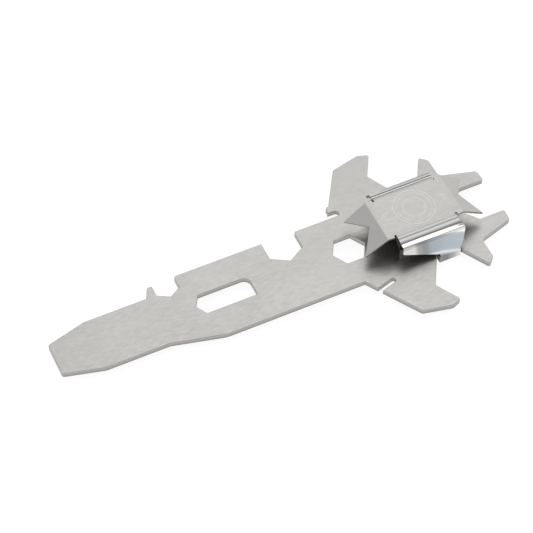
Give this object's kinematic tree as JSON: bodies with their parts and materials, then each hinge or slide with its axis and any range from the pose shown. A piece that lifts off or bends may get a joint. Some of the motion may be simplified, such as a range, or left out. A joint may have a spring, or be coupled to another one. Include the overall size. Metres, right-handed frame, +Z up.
{
  "type": "multi tool",
  "caption": "Painter's pocket multi tool, 201 mm stainless plate with scraper, can hook, spanner jaws and claws, and a rocking star-shaped belt clip",
  "frame": {"origin": "centre of the bounding box in X and Y, at the bottom of the belt clip's lips, which is the lowest point of the tool", "axes": "+X runs along the tool from the scraper's edge to the forked head, +Y is the side with the two open spanner jaws, +Z is up out of the flat plate on the belt clip's side"},
  "size_m": [0.2011, 0.0884, 0.0162],
  "materials": {
    "plate_steel": "satin, fine brushed",
    "clip_steel": "satin, brighter at the bends",
    "spring_steel": "satin"
  },
  "bodies": {
    "tool": {"tool_plate": "plate_steel"},
    "clip": {"star_clip": "clip_steel", "inner_spring": "spring_steel"}
  },
  "joints": [
    {"name": "clip_rock", "type": "hinge", "parent": "tool", "child": "clip", "pos_m": [0.06588, 0, 0.003], "axis": [0, 1, 0], "range_deg": [0, 6], "stiffness_Nm_per_rad": 1.2, "springref_deg": -2.29}
  ]
}
